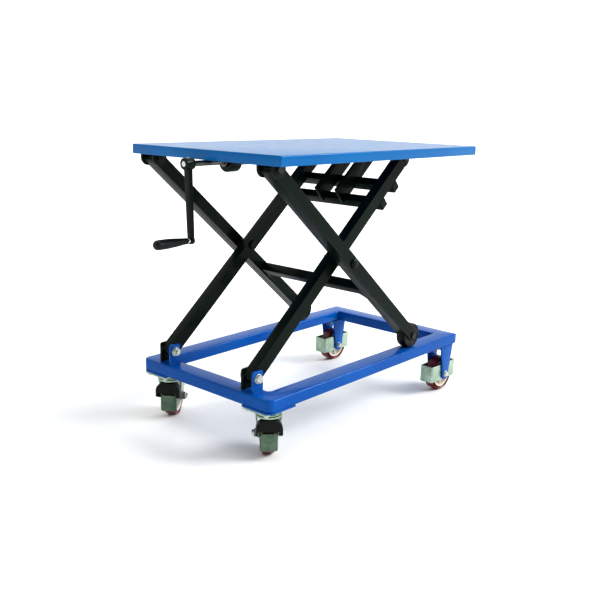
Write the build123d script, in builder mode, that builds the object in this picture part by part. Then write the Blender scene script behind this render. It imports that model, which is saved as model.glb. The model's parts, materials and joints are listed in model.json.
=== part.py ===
from build123d import *
import os
from math import cos, radians, sin

# Scissor lift table on casters, raised and lowered by a crank and a lead screw.
# Millimetres. Z up, Z = 0 on the floor, X = Y = 0 under the middle of the table.
# -X is the crank end, +X is the end with the fixed casters.
# "near" is the -Y side and "far" is the +Y side.

# ---- table ----
table_length = 800.0
table_width = 500.0
table_skirt = 23.5
table_sheet = 2.0
table_bend = 3.0

# ---- base frame, flat rectangular tube ----
base_length = 800.0
base_width = 456.6
tube_width = 50.0
tube_height = 30.0
tube_wall = 2.5
bend_radius = 18.0
bend_inner_radius = 12.0
base_clearance = 135.0

# ---- scissor ----
leg_half = 370.0
lift_angle = 40.6
pivot_inset = 25.0
pivot_rise = 34.0
table_rise = 31.5
inner_y = 147.0
inner_width = 28.0
inner_depth = 32.0
outer_y = 198.5
outer_width = 37.0
outer_depth = 31.0
leg_wall = 3.0
bush_radius = 11.0
pivot_bolt_radius = 6.0
centre_pin_radius = 8.0
top_pin_radius = 5.0
base_pin_radius = 6.0
running_fit = 0.05
side_gap = 0.5
rolling_gap = 0.3
lug_thickness = 6.0
base_lug_width = 32.0
base_lug_rise = 18.5
table_lug_width = 40.0
track_thickness = 5.0
track_width = 28.0

# ---- cross members ----
cross_size = 25.0
cross_wall = 2.5
cross_station = 131.0
gusset_thickness = 5.0
gusset_length = 42.0
gusset_depth = 20.0
bar_size = 24.0
bar_stations = (226.0, 291.0)
lever_spacing = 35.0
lever_thickness = 8.0
lever_depth = 50.0
lever_start = 208.0

# ---- screw, nut and crank ----
shaft_radius = 6.5
thread_radius = 9.0
nut_length = 30.0
nut_height = 40.0
trunnion_radius = 10.0
housing_x = -320.0
housing_length = 30.0
housing_radius = 24.0
housing_width = 40.0
end_bearing_inset = 24.0
end_bearing_length = 12.0
crank_x = -436.0
crank_radius = 173.0
crank_tilt = 2.6
crank_hub_radius = 13.0
crank_hub_length = 24.0
crank_arm_thickness = 10.0
grip_length = 93.0
grip_radius = 11.5
grip_pin_radius = 4.0

# ---- casters ----
wheel_radius = 50.0
wheel_width = 28.0
tread_thickness = 9.0
tread_round = 4.0
hub_radius = 13.0
hub_length = 34.0
axle_radius = 4.0
fork_gap = 43.0
fork_plate = 4.0
rigid_end_inset = 45.0
rigid_side_inset = 25.8
rigid_x = base_length / 2 - rigid_end_inset
rigid_y = base_width / 2 - rigid_side_inset
rigid_fork_top = 60.0
rigid_guard_front = 66.0
rigid_guard_back = 57.0
guard_sheet = 2.5
guard_low = 34.5
guard_high = 81.5
swivel_end_inset = 50.0
swivel_side_inset = 49.3
swivel_x = swivel_end_inset - base_length / 2
swivel_y = base_width / 2 - swivel_side_inset
swivel_angles = (228.0, 215.0)
swivel_trail = 32.0
swivel_plate_length = 100.0
swivel_plate_width = 80.0
swivel_plate_sheet = 4.0
corner_plate = 90.0
corner_plate_inset = 45.0
corner_plate_side_inset = 45.3
corner_plate_x = corner_plate_inset - base_length / 2
corner_plate_y = base_width / 2 - corner_plate_side_inset
corner_plate_thickness = 5.0
race_radius = 28.0
race_height = 14.5
king_pin_radius = 6.0
crown_radius = 31.0
toe_front = 56.0
toe_low = 25.0
toe_high = 68.0
pedal_front = 30.0
pedal_back = 10.0
pedal_top = 104.0
pedal_low = 66.0
pedal_thickness = 4.5
pedal_web = 3.5
pedal_web_low = 75.0
pedal_round = 22.0

# ---- derived places ----
base_top = base_clearance + tube_height
pivot_x = -base_length / 2 + pivot_inset
pivot_z = base_top + pivot_rise
run = leg_half * cos(radians(lift_angle))
rise = leg_half * sin(radians(lift_angle))
centre_x = pivot_x + run
centre_z = pivot_z + rise
roller_x = pivot_x + 2 * run
screw_z = pivot_z + 2 * rise
table_top_z = screw_z + table_rise
table_under_z = table_top_z - table_sheet
track_z = table_under_z - track_thickness
top_roller_radius = track_z - screw_z - rolling_gap
base_roller_radius = pivot_rise - rolling_gap
trunnion_out = lever_spacing + lever_thickness / 2 + 3.0
plate_low = base_clearance - corner_plate_thickness
race_high = plate_low - swivel_plate_sheet
race_low = race_high - race_height
crown_low = race_low - side_gap - fork_plate
sides = (("near", -1), ("far", 1))

os.makedirs("parts", exist_ok=True)


def finish(builder, name):
    builder.part.label = name
    export_step(builder.part, "parts/" + name + ".step")


def gather(pieces, name):
    """One sub-part made of several like pieces."""
    with BuildPart() as group:
        add(pieces)
    finish(group, name)


def side_plane(x, y, z, angle=0.0):
    """Sketch plane seen from -Y: local x rises at the angle, extrusion runs towards -Y."""
    a = radians(angle)
    return Plane(origin=(x, y, z), x_dir=(cos(a), 0, sin(a)), z_dir=(0, -1, 0))


def span_y(side, centre, width):
    """Y of the +Y face of a piece of that width standing at centre on one side."""
    return side * centre + width / 2


def leg_point(angle, station, offset=0.0):
    """Point in the side view, at a station along a leg and an offset above its axis."""
    a = radians(angle)
    return (
        centre_x + station * cos(a) - offset * sin(a),
        centre_z + station * sin(a) + offset * cos(a),
    )


# ================= base frame =================
def ring_outline(inset):
    """Plan outline of the frame: bent corners at -X, square corners at +X."""
    Rectangle(base_length - 2 * inset, base_width - 2 * inset)
    Rectangle(
        base_length - 2 * tube_width + 2 * inset,
        base_width - 2 * tube_width + 2 * inset,
        mode=Mode.SUBTRACT,
    )


def ring_solid(inset, low, height):
    """The frame's ring, with its two bent corners rounded inside and outside."""
    with BuildPart() as ring:
        with BuildSketch(Plane.XY.offset(low)):
            ring_outline(inset)
        extrude(amount=height)
        corners = ring.edges().filter_by(Axis.Z).group_by(Axis.X)
        fillet(corners[0], bend_radius - inset)
        inside = ring.edges().filter_by(Axis.Z).filter_by_position(
            Axis.X, -base_length / 2 + tube_width - inset - 1, -base_length / 2 + tube_width - inset + 1
        )
        fillet(inside, bend_inner_radius + inset)
    return ring.part


def end_wedge():
    """Plan shape of the +X tube between its two mitres."""
    x0 = base_length / 2 - tube_width
    x1 = base_length / 2
    y0 = base_width / 2 - tube_width
    y1 = base_width / 2
    Polygon((x1, -y1), (x1, y1), (x0, y0), (x0, -y0), align=None)


ring_outer = ring_solid(0.0, base_clearance, tube_height)
ring_bore = ring_solid(tube_wall, base_clearance + tube_wall, tube_height - 2 * tube_wall)

with BuildPart() as base_bent_tube:
    add(ring_outer)
    add(ring_bore, mode=Mode.SUBTRACT)
    with BuildSketch(Plane.XY.offset(base_clearance)):
        end_wedge()
    extrude(amount=tube_height, mode=Mode.SUBTRACT)
finish(base_bent_tube, "base_bent_tube")

with BuildPart() as base_end_tube:
    with BuildSketch(Plane.XY.offset(base_clearance)):
        end_wedge()
    extrude(amount=tube_height)
    add(ring_bore, mode=Mode.SUBTRACT)
finish(base_end_tube, "base_end_tube")

base_lug_inner = inner_y - inner_width / 2 - side_gap - lug_thickness / 2
base_lug_outer = inner_y + inner_width / 2 + side_gap + lug_thickness / 2

for name, side in sides:
    with BuildPart() as base_clevis:
        for lug_y in (base_lug_inner, base_lug_outer):
            lug_plane = side_plane(pivot_x, span_y(side, lug_y, lug_thickness), base_top)
            with BuildSketch(lug_plane) as lug:
                with Locations((0, (pivot_rise + base_lug_rise) / 2)):
                    Rectangle(base_lug_width, pivot_rise + base_lug_rise)
                fillet(lug.vertices().group_by(Axis.Y)[-1], 6)
                with Locations((0, pivot_rise)):
                    Circle(pivot_bolt_radius, mode=Mode.SUBTRACT)
            extrude(amount=lug_thickness)
    finish(base_clevis, "base_clevis_" + name)


def bolt(plane, length, radius, head_radius, head_thickness, nut_thickness):
    """Hexagon bolt along the plane's normal, with the nut at the far end."""
    with BuildPart() as piece:
        with BuildSketch(plane.offset(-head_thickness)):
            RegularPolygon(head_radius, 6)
        extrude(amount=head_thickness)
        with BuildSketch(plane):
            Circle(radius)
        extrude(amount=length)
        with BuildSketch(plane.offset(length)):
            RegularPolygon(head_radius, 6)
        extrude(amount=nut_thickness)
        with BuildSketch(plane.offset(length + nut_thickness)):
            Circle(radius - 0.5)
        extrude(amount=3)
    return piece.part


def outward_plane(side, x, y_out, z):
    """Plane at |Y| = y_out whose normal points to the table's middle."""
    return Plane(origin=(x, side * y_out, z), x_dir=(1, 0, 0), z_dir=(0, -side, 0))


base_bolt_y = base_lug_outer + lug_thickness / 2
base_bolt_grip = base_bolt_y - base_lug_inner + lug_thickness / 2
base_pivot_bolts = []
for name, side in sides:
    head = outward_plane(side, pivot_x, base_bolt_y, pivot_z)
    base_pivot_bolts.append(bolt(head, base_bolt_grip, pivot_bolt_radius, 10.4, 7, 8))
gather(base_pivot_bolts, "base_pivot_bolts")

# ================= legs =================
def build_leg(side, angle, y_mid, width, depth, pin_radius, roller_radius, roller_pin):
    """Rectangular tube with half-round ends: pivot bush at one end, roller window at the other."""
    plane = side_plane(centre_x, span_y(side, y_mid, width), centre_z, angle)
    bore = width - 2 * leg_wall
    window = roller_radius + 5.0
    with BuildPart() as leg:
        with BuildSketch(plane):
            SlotCenterToCenter(2 * leg_half, depth)
        extrude(amount=width)
        with BuildSketch(plane.offset(leg_wall)):
            Rectangle(2 * leg_half + 2 * depth, depth - 2 * leg_wall)
        extrude(amount=bore, mode=Mode.SUBTRACT)
        with BuildSketch(plane.offset(leg_wall)):
            with Locations((leg_half, 0)):
                Rectangle(2 * window, 2 * depth)
        extrude(amount=bore, mode=Mode.SUBTRACT)
        with BuildSketch(plane):
            with Locations((-leg_half, 0)):
                Circle(bush_radius)
            Circle(bush_radius)
        extrude(amount=width)
        with BuildSketch(plane):
            with Locations((-leg_half, 0)):
                Circle(pivot_bolt_radius + running_fit)
            Circle(pin_radius)
            with Locations((leg_half, 0)):
                Circle(roller_pin)
        extrude(amount=width, mode=Mode.SUBTRACT)
    return leg


for name, side in sides:
    inner_leg = build_leg(
        side, lift_angle, inner_y, inner_width, inner_depth,
        centre_pin_radius + running_fit, top_roller_radius, top_pin_radius,
    )
    finish(inner_leg, "inner_leg_" + name)
    outer_leg = build_leg(
        side, -lift_angle, outer_y, outer_width, outer_depth,
        centre_pin_radius, base_roller_radius, base_pin_radius,
    )
    finish(outer_leg, "outer_leg_" + name)


# ================= cross members =================
def build_bar(angle, station, offset, size, wall, half_span):
    """Square tube across the table, square to the leg that it is welded to."""
    x, z = leg_point(angle, station, offset)
    with BuildPart() as bar:
        with BuildSketch(side_plane(x, half_span, z, angle)):
            Rectangle(size, size)
            Rectangle(size - 2 * wall, size - 2 * wall, mode=Mode.SUBTRACT)
        extrude(amount=2 * half_span)
    return bar


bar_offset = -inner_depth / 2 - bar_size / 2
bar_half_span = inner_y + inner_width / 2
for name, station in zip(("lower", "upper"), bar_stations):
    ladder_bar = build_bar(lift_angle, station, bar_offset, bar_size, cross_wall, bar_half_span)
    finish(ladder_bar, "ladder_bar_" + name)

cross_half_span = outer_y - outer_width / 2
cross_tube = build_bar(-lift_angle, cross_station, 0.0, cross_size, cross_wall, cross_half_span)
finish(cross_tube, "cross_tube")

a_out = radians(lift_angle)
gusset_x, gusset_z = leg_point(-lift_angle, cross_station + cross_size / 2, -cross_size / 2)
gusset_plane = Plane(
    origin=(gusset_x, 0, gusset_z), x_dir=(cos(a_out), 0, -sin(a_out)), z_dir=(sin(a_out), 0, cos(a_out))
)
with BuildPart() as cross_gussets:
    for name, side in sides:
        y0 = side * cross_half_span
        y1 = side * (cross_half_span - gusset_depth)
        bow = (gusset_length * 0.455, y0 - side * gusset_depth * 0.3)
        with BuildSketch(gusset_plane):
            with BuildLine():
                Polyline((0, y1), (0, y0), (gusset_length, y0))
                ThreePointArc((gusset_length, y0), bow, (0, y1))
            make_face()
        extrude(amount=gusset_thickness)
finish(cross_gussets, "cross_gussets")

with BuildPart() as lever_plates:
    for name, side in sides:
        plane = side_plane(
            centre_x, span_y(side, lever_spacing, lever_thickness), centre_z, lift_angle
        )
        with BuildSketch(plane):
            with Locations(((lever_start + leg_half) / 2, 0)):
                Rectangle(leg_half - lever_start, lever_depth)
            with Locations((leg_half, 0)):
                Circle(min(lever_depth / 2, table_rise - table_sheet - 2))
            for station in bar_stations:
                with Locations((station, bar_offset)):
                    Rectangle(bar_size, bar_size, mode=Mode.SUBTRACT)
            with Locations((leg_half, 0)):
                Circle(trunnion_radius + running_fit, mode=Mode.SUBTRACT)
        extrude(amount=lever_thickness)
finish(lever_plates, "lever_plates")

# ================= pins and rollers =================
with BuildPart() as centre_pins:
    for name, side in sides:
        y_out = outer_y + outer_width / 2
        y_mid = inner_y + inner_width / 2
        y_in = inner_y - inner_width / 2 - side_gap
        outward = outward_plane(side, centre_x, y_out, centre_z)
        with BuildSketch(outward.offset(-7)):
            Circle(12)
        extrude(amount=7, taper=-8)
        with BuildSketch(outward):
            Circle(centre_pin_radius)
        extrude(amount=y_out - y_in + 6)
        with BuildSketch(outward.offset(outer_width)):
            Circle(bush_radius + 2)
        extrude(amount=outer_y - outer_width / 2 - y_mid - side_gap)
        with BuildSketch(outward.offset(y_out - y_in)):
            Circle(bush_radius + 1)
        extrude(amount=6)
finish(centre_pins, "centre_pins")


def roller_pin(side, z, y_mid, width, radius):
    """Plain axle with a low head on each side of a leg's cheeks."""
    outward = outward_plane(side, roller_x, y_mid + width / 2, z)
    with BuildPart() as pin:
        with BuildSketch(outward.offset(-3)):
            Circle(radius + 3)
        extrude(amount=3)
        with BuildSketch(outward):
            Circle(radius)
        extrude(amount=width)
        with BuildSketch(outward.offset(width)):
            Circle(radius + 3)
        extrude(amount=3)
    return pin.part


top_pins = [roller_pin(side, screw_z, inner_y, inner_width, top_pin_radius) for name, side in sides]
gather(top_pins, "top_roller_pins")
base_pins = [roller_pin(side, pivot_z, outer_y, outer_width, base_pin_radius) for name, side in sides]
gather(base_pins, "base_roller_pins")


def build_roller(side, z, y_mid, width, radius, pin_radius):
    """Solid wheel with rounded rims that turns on its pin."""
    with BuildPart() as roller:
        with BuildSketch(side_plane(roller_x, span_y(side, y_mid, width), z)):
            Circle(radius)
            Circle(pin_radius + running_fit, mode=Mode.SUBTRACT)
        extrude(amount=width)
        rims = roller.edges().filter_by(GeomType.CIRCLE).sort_by(SortBy.RADIUS)[-2:]
        chamfer(rims, 1.5)
    return roller


top_roller_width = inner_width - 2 * leg_wall - 2 * side_gap
base_roller_width = outer_width - 2 * leg_wall - 2 * side_gap
for name, side in sides:
    top_roller = build_roller(side, screw_z, inner_y, top_roller_width, top_roller_radius, top_pin_radius)
    finish(top_roller, "top_roller_" + name)
    base_roller = build_roller(side, pivot_z, outer_y, base_roller_width, base_roller_radius, base_pin_radius)
    finish(base_roller, "base_roller_" + name)

# ================= table =================
with BuildPart() as table_tray:
    with BuildSketch(Plane.XY.offset(table_top_z - table_skirt)):
        Rectangle(table_length, table_width)
    extrude(amount=table_skirt)
    fillet(table_tray.edges().filter_by(Axis.Z), table_bend)
    fillet(table_tray.faces().sort_by(Axis.Z)[-1].edges(), table_bend)
    with BuildSketch(Plane.XY.offset(table_top_z - table_skirt)):
        Rectangle(table_length - 2 * table_sheet, table_width - 2 * table_sheet)
    extrude(amount=table_skirt - table_sheet, mode=Mode.SUBTRACT)
finish(table_tray, "table_tray")

table_lug_inner = outer_y - outer_width / 2 - side_gap - lug_thickness / 2
table_lug_outer = outer_y + outer_width / 2 + side_gap + lug_thickness / 2
table_lug_height = table_under_z - screw_z

for name, side in sides:
    with BuildPart() as table_lugs:
        for lug_y in (table_lug_inner, table_lug_outer):
            lug_plane = side_plane(pivot_x, span_y(side, lug_y, lug_thickness), screw_z)
            with BuildSketch(lug_plane):
                with Locations((0, table_lug_height / 2)):
                    Rectangle(table_lug_width, table_lug_height)
                Circle(table_lug_width / 2)
                Circle(pivot_bolt_radius, mode=Mode.SUBTRACT)
            extrude(amount=lug_thickness)
    finish(table_lugs, "table_lugs_" + name)

table_bolt_y = table_lug_outer + lug_thickness / 2
table_bolt_grip = table_bolt_y - table_lug_inner + lug_thickness / 2
table_pivot_bolts = []
for name, side in sides:
    head = outward_plane(side, pivot_x, table_bolt_y, screw_z)
    table_pivot_bolts.append(bolt(head, table_bolt_grip, pivot_bolt_radius, 10.4, 7, 8))
gather(table_pivot_bolts, "table_pivot_bolts")

track_x1 = table_length / 2 - 8.0
track_x0 = roller_x - 75.0
with BuildPart() as roller_tracks:
    for name, side in sides:
        with BuildSketch(Plane.XY.offset(track_z)):
            with Locations(((track_x0 + track_x1) / 2, side * inner_y)):
                Rectangle(track_x1 - track_x0, track_width)
        extrude(amount=track_thickness)
finish(roller_tracks, "roller_tracks")


# ================= screw =================
def x_plane(x, y=0.0, z=screw_z):
    """Sketch plane across the screw: local x is +Y, local y is +Z, extrusion runs to +X."""
    return Plane(origin=(x, y, z), x_dir=(0, 1, 0), z_dir=(1, 0, 0))


drop = table_under_z - screw_z
with BuildPart() as screw_housing:
    with BuildSketch(x_plane(housing_x)):
        with Locations((0, drop / 2)):
            Rectangle(housing_width, drop)
        Circle(housing_radius)
        Circle(shaft_radius + running_fit, mode=Mode.SUBTRACT)
    extrude(amount=housing_length)
    with BuildSketch(Plane.XY.offset(table_under_z - 5)):
        with Locations((housing_x + housing_length / 2, 0)):
            Rectangle(housing_length + 16, housing_width + 44)
    extrude(amount=5)
finish(screw_housing, "screw_housing")

end_x0 = table_length / 2 - end_bearing_inset
end_journal_radius = 6.0
with BuildPart() as screw_end_bearing:
    with BuildSketch(x_plane(end_x0)):
        with Locations((0, drop / 2)):
            Rectangle(30, drop)
        Circle(15)
        Circle(end_journal_radius + running_fit, mode=Mode.SUBTRACT)
    extrude(amount=end_bearing_length)
finish(screw_end_bearing, "screw_end_bearing")

housing_end = housing_x + housing_length
with BuildPart() as lead_screw:
    with BuildSketch(x_plane(crank_x - crank_hub_length / 2)):
        Circle(shaft_radius)
    extrude(amount=housing_end + 10 - crank_x + crank_hub_length / 2)
    with BuildSketch(x_plane(housing_x - 9)):
        Circle(shaft_radius + 5)
    extrude(amount=8)
    with BuildSketch(x_plane(housing_end + 1)):
        Circle(shaft_radius + 5)
    extrude(amount=9)
    with BuildSketch(x_plane(housing_end + 10)):
        Circle(thread_radius)
    extrude(amount=end_x0 - 4 - housing_end - 10)
    with BuildSketch(x_plane(end_x0 - 4)):
        Circle(end_journal_radius)
    extrude(amount=end_bearing_length + 8)
finish(lead_screw, "lead_screw")

nut_width = 2 * (lever_spacing - lever_thickness / 2 - side_gap)
with BuildPart() as screw_nut:
    with BuildSketch(x_plane(roller_x - nut_length / 2)):
        Rectangle(nut_width, nut_height)
    extrude(amount=nut_length)
    fillet(screw_nut.edges().filter_by(Axis.Y), 4)
    with BuildSketch(side_plane(roller_x, trunnion_out, screw_z)):
        Circle(trunnion_radius)
    extrude(amount=2 * trunnion_out)
    with BuildSketch(x_plane(roller_x - nut_length)):
        Circle(thread_radius + running_fit)
    extrude(amount=2 * nut_length, mode=Mode.SUBTRACT)
finish(screw_nut, "screw_nut")

# ================= crank =================
tilt = radians(crank_tilt)
arm_plane = Plane(
    origin=(crank_x - crank_arm_thickness / 2, 0, screw_z),
    x_dir=(0, cos(tilt), -sin(tilt)),
    z_dir=(1, 0, 0),
)
with BuildPart() as crank_arm:
    with BuildSketch(arm_plane):
        with BuildLine():
            Polyline((-9, 0), (9, 0), (6.5, -crank_radius), (-6.5, -crank_radius), close=True)
        make_face()
        with Locations((0, -crank_radius)):
            Circle(8.5)
    extrude(amount=crank_arm_thickness)
    with BuildSketch(x_plane(crank_x - crank_hub_length / 2)):
        Circle(crank_hub_radius)
    extrude(amount=crank_hub_length)
    with BuildSketch(x_plane(crank_x - crank_hub_length / 2)):
        Circle(shaft_radius)
    extrude(amount=crank_hub_length, mode=Mode.SUBTRACT)
    with BuildSketch(arm_plane):
        with Locations((0, -crank_radius)):
            Circle(grip_pin_radius)
    extrude(amount=crank_arm_thickness, mode=Mode.SUBTRACT)
finish(crank_arm, "crank_arm")

grip_y = -crank_radius * sin(tilt)
grip_z = screw_z - crank_radius * cos(tilt)
grip_face = crank_x - crank_arm_thickness / 2
shoulder = 6.0
with BuildPart() as grip_pin:
    with BuildSketch(x_plane(grip_face - shoulder - grip_length + 6, grip_y, grip_z)):
        Circle(grip_pin_radius)
    extrude(amount=grip_length - 6 + shoulder + crank_arm_thickness)
    with BuildSketch(x_plane(grip_face - shoulder, grip_y, grip_z)):
        Circle(grip_pin_radius + 2.5)
    extrude(amount=shoulder)
finish(grip_pin, "grip_pin")

grip_start = grip_face - shoulder - side_gap
with BuildPart() as crank_grip:
    with BuildSketch(Plane(origin=(grip_start, grip_y, grip_z), x_dir=(-1, 0, 0), z_dir=(0, -1, 0))):
        with BuildLine():
            Line((0, 0), (0, 7))
            Spline(
                (0, 7), (grip_length * 0.3, grip_radius * 0.86), (grip_length * 0.7, grip_radius),
                (grip_length - 5, grip_radius * 0.92),
            )
            RadiusArc((grip_length - 5, grip_radius * 0.92), (grip_length, grip_radius * 0.5), 6.5)
            Polyline((grip_length, grip_radius * 0.5), (grip_length, 0), (0, 0))
        make_face()
    revolve(axis=Axis((grip_start, grip_y, grip_z), (1, 0, 0)))
    with BuildSketch(x_plane(grip_start - grip_length + 5, grip_y, grip_z)):
        Circle(grip_pin_radius + running_fit)
    extrude(amount=grip_length, mode=Mode.SUBTRACT)
finish(crank_grip, "crank_grip")


# ================= casters =================
def across(plane, offset):
    """Side plane of a caster: local x is its rolling direction, extrusion runs to -n."""
    n = plane.y_dir
    origin = plane.origin + n * offset
    return Plane(origin=origin, x_dir=plane.x_dir, z_dir=n * -1)


def build_tyre(plane, ahead):
    with BuildPart() as tyre:
        with BuildSketch(across(plane, wheel_width / 2)):
            with Locations((ahead, wheel_radius)):
                Circle(wheel_radius)
        extrude(amount=wheel_width)
        fillet(tyre.edges().filter_by(GeomType.CIRCLE), tread_round)
        with BuildSketch(across(plane, wheel_width / 2)):
            with Locations((ahead, wheel_radius)):
                Circle(wheel_radius - tread_thickness)
        extrude(amount=wheel_width, mode=Mode.SUBTRACT)
    return tyre


def build_core(plane, ahead):
    """Wheel centre: rim, thinner web and a longer hub."""
    rim = wheel_radius - tread_thickness
    with BuildPart() as core:
        for width, radius in ((wheel_width - 2, rim), (hub_length, hub_radius)):
            with BuildSketch(across(plane, width / 2)):
                with Locations((ahead, wheel_radius)):
                    Circle(radius)
            extrude(amount=width)
        for start in (wheel_width / 2, -4.0):
            with BuildSketch(across(plane, start)):
                with Locations((ahead, wheel_radius)):
                    Circle(rim - 5)
                    Circle(hub_radius + 2, mode=Mode.SUBTRACT)
            extrude(amount=wheel_width / 2 - 4.0, mode=Mode.SUBTRACT)
        with BuildSketch(across(plane, hub_length / 2)):
            with Locations((ahead, wheel_radius)):
                Circle(axle_radius + running_fit)
        extrude(amount=hub_length, mode=Mode.SUBTRACT)
    return core


def axle_bolt(plane, ahead, reach):
    """Bolt through fork and wheel, its head at the reach on the -n side."""
    n = plane.y_dir
    origin = plane.origin + plane.x_dir * ahead + Vector(0, 0, wheel_radius) - n * reach
    head = Plane(origin=origin, x_dir=plane.x_dir, z_dir=n)
    return bolt(head, 2 * reach, axle_radius, 7.5, 4.5, 5)


def guard_band(plane, front, back, low, high, width):
    """Rectangular sheet band around the wheel, open above and below, with axle holes."""
    with BuildPart() as guard:
        with BuildSketch(plane.offset(low)) as band:
            with Locations(((front - back) / 2, 0)):
                Rectangle(front + back, width)
            fillet(band.vertices(), 6)
        extrude(amount=high - low)
        with BuildSketch(plane.offset(low)) as bore:
            with Locations(((front - back) / 2, 0)):
                Rectangle(front + back - 2 * guard_sheet, width - 2 * guard_sheet)
            fillet(bore.vertices(), 6 - guard_sheet)
        extrude(amount=high - low, mode=Mode.SUBTRACT)
        with BuildSketch(across(plane, width)):
            with Locations((0, wheel_radius)):
                Circle(axle_radius)
        extrude(amount=2 * width, mode=Mode.SUBTRACT)
    return guard


guard_width = fork_gap - 0.6
fork_top_z = base_clearance

# ---- fixed casters at the +X end ----
for name, side in sides:
    plane = Plane(origin=(rigid_x, side * rigid_y, 0), x_dir=(1, 0, 0), z_dir=(0, 0, 1))
    with BuildPart() as rigid_fork:
        with BuildSketch(plane.offset(fork_top_z - fork_plate)):
            Rectangle(rigid_fork_top, fork_gap + 2 * fork_plate)
        extrude(amount=fork_plate)
        for start in (fork_gap / 2 + fork_plate, -fork_gap / 2):
            with BuildSketch(across(plane, start)):
                with BuildLine():
                    Polyline(
                        (-rigid_fork_top / 2, fork_top_z - fork_plate),
                        (rigid_fork_top / 2, fork_top_z - fork_plate),
                        (16.5, wheel_radius + 8),
                        (16.5, wheel_radius),
                        (-16.5, wheel_radius),
                        (-16.5, wheel_radius + 8),
                        close=True,
                    )
                make_face()
                with Locations((0, wheel_radius)):
                    Circle(16.5)
                    Circle(axle_radius, mode=Mode.SUBTRACT)
            extrude(amount=fork_plate)
    finish(rigid_fork, "rigid_fork_" + name)

    wheel_guard = guard_band(
        plane, rigid_guard_back, rigid_guard_front, guard_low, guard_high, guard_width
    )
    finish(wheel_guard, "rigid_guard_" + name)

    rigid_tyre = build_tyre(plane, 0)
    finish(rigid_tyre, "rigid_tyre_" + name)
    rigid_core = build_core(plane, 0)
    finish(rigid_core, "rigid_core_" + name)

rigid_axles = []
for name, side in sides:
    plane = Plane(origin=(rigid_x, side * rigid_y, 0), x_dir=(-side, 0, 0), z_dir=(0, 0, 1))
    rigid_axles.append(axle_bolt(plane, 0, fork_gap / 2 + fork_plate))
gather(rigid_axles, "rigid_axles")

# ---- swivel casters at the -X end ----
def across_front(plane, ahead):
    """Front plane of a caster: local x is across, local y is up, extrusion runs backwards."""
    origin = plane.origin + plane.x_dir * ahead
    return Plane(origin=origin, x_dir=plane.y_dir * -1, z_dir=plane.x_dir * -1)


def build_swivel_race(fixed):
    """Zinc mounting plate, ball race and king pin of a swivel caster."""
    with BuildPart() as race:
        with BuildSketch(fixed.offset(race_high)) as plate:
            Rectangle(swivel_plate_length, swivel_plate_width)
            fillet(plate.vertices(), 5)
        extrude(amount=plate_low - race_high)
        with BuildSketch(fixed.offset(race_low)):
            Circle(race_radius)
        extrude(amount=race_high - race_low, taper=-4)
        with BuildSketch(fixed.offset(crown_low - 5)):
            Circle(king_pin_radius)
        extrude(amount=5 + race_low - crown_low)
        with BuildSketch(fixed.offset(crown_low - 5)):
            RegularPolygon(9.2, 6)
        extrude(amount=5 - side_gap)
    return race


def build_swivel_fork(plane):
    """Two cheeks that close in from the crown to the axle, under a round crown."""
    top = crown_low + fork_plate
    low = wheel_radius - 12
    inner = fork_gap / 2
    flare = crown_radius - fork_plate
    with BuildPart() as fork:
        with BuildSketch(across_front(plane, 8)):
            for turn in (-1, 1):
                with BuildLine():
                    Polyline(
                        (turn * inner, low),
                        (turn * inner, wheel_radius + 15),
                        (turn * flare, crown_low - 7),
                        (turn * flare, top),
                        (turn * crown_radius, top),
                        (turn * crown_radius, crown_low - 7),
                        (turn * (inner + fork_plate), wheel_radius + 15),
                        (turn * (inner + fork_plate), low),
                        close=True,
                    )
                make_face()
        extrude(amount=60)
        with BuildSketch(across(plane, crown_radius + 5)):
            with BuildLine():
                Polyline(
                    (8, top),
                    (8, crown_low),
                    (12 - swivel_trail, wheel_radius + 4),
                    (-swivel_trail, wheel_radius - 12),
                    (-12 - swivel_trail, wheel_radius + 2),
                    (-7 - swivel_trail, crown_low - 20),
                    (-crown_radius + 4, top),
                    close=True,
                )
            make_face()
            with Locations((-swivel_trail, wheel_radius)):
                Circle(12)
        extrude(amount=2 * crown_radius + 10, mode=Mode.INTERSECT)
        with BuildSketch(plane.offset(crown_low)):
            Circle(crown_radius)
        extrude(amount=fork_plate)
        with BuildSketch(plane.offset(crown_low)):
            Circle(king_pin_radius + running_fit)
        extrude(amount=fork_plate, mode=Mode.SUBTRACT)
        with BuildSketch(across(plane, crown_radius + 5)):
            with Locations((-swivel_trail, wheel_radius)):
                Circle(axle_radius)
        extrude(amount=2 * crown_radius + 10, mode=Mode.SUBTRACT)
    return fork


def build_toe_guard(plane):
    """U-shaped sheet in front of the wheel, held on the axle."""
    with BuildPart() as guard:
        with BuildSketch(plane.offset(toe_low)) as band:
            with Locations(((toe_front - 20) / 2 - swivel_trail, 0)):
                Rectangle(toe_front + 20, guard_width)
            fillet(band.vertices(), 6)
            with Locations(((toe_front - 20) / 2 - 10 - guard_sheet / 2 - swivel_trail, 0)):
                Rectangle(toe_front + 40 - guard_sheet, guard_width - 2 * guard_sheet, mode=Mode.SUBTRACT)
        extrude(amount=toe_high - toe_low)
        with BuildSketch(across(plane, guard_width)):
            with BuildLine():
                Polyline(
                    (toe_front - swivel_trail, toe_low),
                    (toe_front - swivel_trail, toe_high),
                    (3 - swivel_trail, toe_high),
                    (-9 - swivel_trail, wheel_radius + 8),
                    (-9 - swivel_trail, wheel_radius - 8),
                    (toe_front / 2 - swivel_trail, wheel_radius - 13),
                    close=True,
                )
            make_face()
            with Locations((-swivel_trail, wheel_radius)):
                Circle(12)
        extrude(amount=2 * guard_width, mode=Mode.INTERSECT)
        with BuildSketch(across(plane, guard_width)):
            with Locations((-swivel_trail, wheel_radius)):
                Circle(axle_radius)
        extrude(amount=2 * guard_width, mode=Mode.SUBTRACT)
    return guard


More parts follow.
